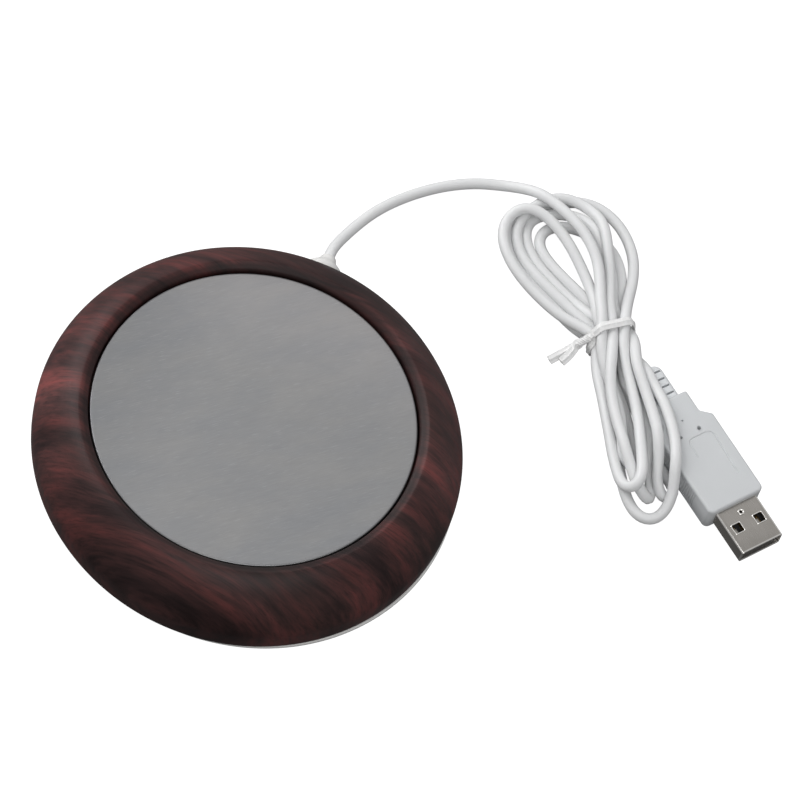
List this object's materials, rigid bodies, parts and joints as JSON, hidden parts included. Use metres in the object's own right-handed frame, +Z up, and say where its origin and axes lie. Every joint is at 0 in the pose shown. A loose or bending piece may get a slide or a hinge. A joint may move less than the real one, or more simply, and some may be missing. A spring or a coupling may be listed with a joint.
{
  "type": "electric mug warmer",
  "caption": "Round desk warmer for a mug: a brushed heating plate in a raised dark wood-look ring, on a white base with rubber feet, with a captive white USB lead folded into a tied hank.",
  "frame": {"origin": "middle of the ring at table level, under the rubber feet", "axes": "+Z up, +Y the way the cord leaves the ring, +X to the right of the cord seen from above with the cord at the top"},
  "size_m": [0.1806, 0.1578, 0.022],
  "materials": {
    "wood_look": "semi-gloss dark red-brown rosewood grain",
    "white_plastic": "smooth white moulding",
    "plate_metal": "brushed, fine short streaks one way",
    "black_rubber": "matte",
    "polyimide": "amber film",
    "etched_foil": "satin foil",
    "steel": "zinc plated",
    "felt": "pressed felt",
    "thermostat_body": "moulded phenolic",
    "cord_jacket": "soft satin jacket",
    "clamp_plastic": "moulded",
    "wire_red": "insulated wire",
    "wire_black": "insulated wire",
    "tie_plastic": "thin plastic-covered wire ribbon",
    "plug_plastic": "satin soft moulding",
    "plug_core_plastic": "hard inner moulding",
    "nickel": "nickel plated pressed sheet",
    "tongue_plastic": "moulded",
    "gold_contact": "gold plated"
  },
  "bodies": {
    "root": {"wood_ring": "wood_look", "base_shell": "white_plastic", "heating_plate": "plate_metal", "plate_gasket": "black_rubber", "heater_film": "polyimide", "heater_track": "etched_foil", "film_terminals": "steel", "insulation_pad": "felt", "thermostat": "thermostat_body", "retainer_plate": "steel", "retainer_screws": "steel", "case_screw_set": "steel", "rubber_feet": "black_rubber", "cord_gland": "white_plastic", "cord_inner": "cord_jacket", "cord_clamp": "clamp_plastic", "clamp_screws": "steel", "lead_red": "wire_red", "lead_black": "wire_black", "jumper_wire": "wire_black", "cord_lead": "cord_jacket", "cord_hank": "cord_jacket", "twist_tie": "tie_plastic", "plug_strain_relief": "plug_plastic", "plug_overmold": "plug_plastic", "plug_cord_end": "cord_jacket", "plug_core": "plug_core_plastic", "plug_shell": "nickel", "plug_tongue": "tongue_plastic", "plug_contacts": "gold_contact"}
  },
  "joints": []
}
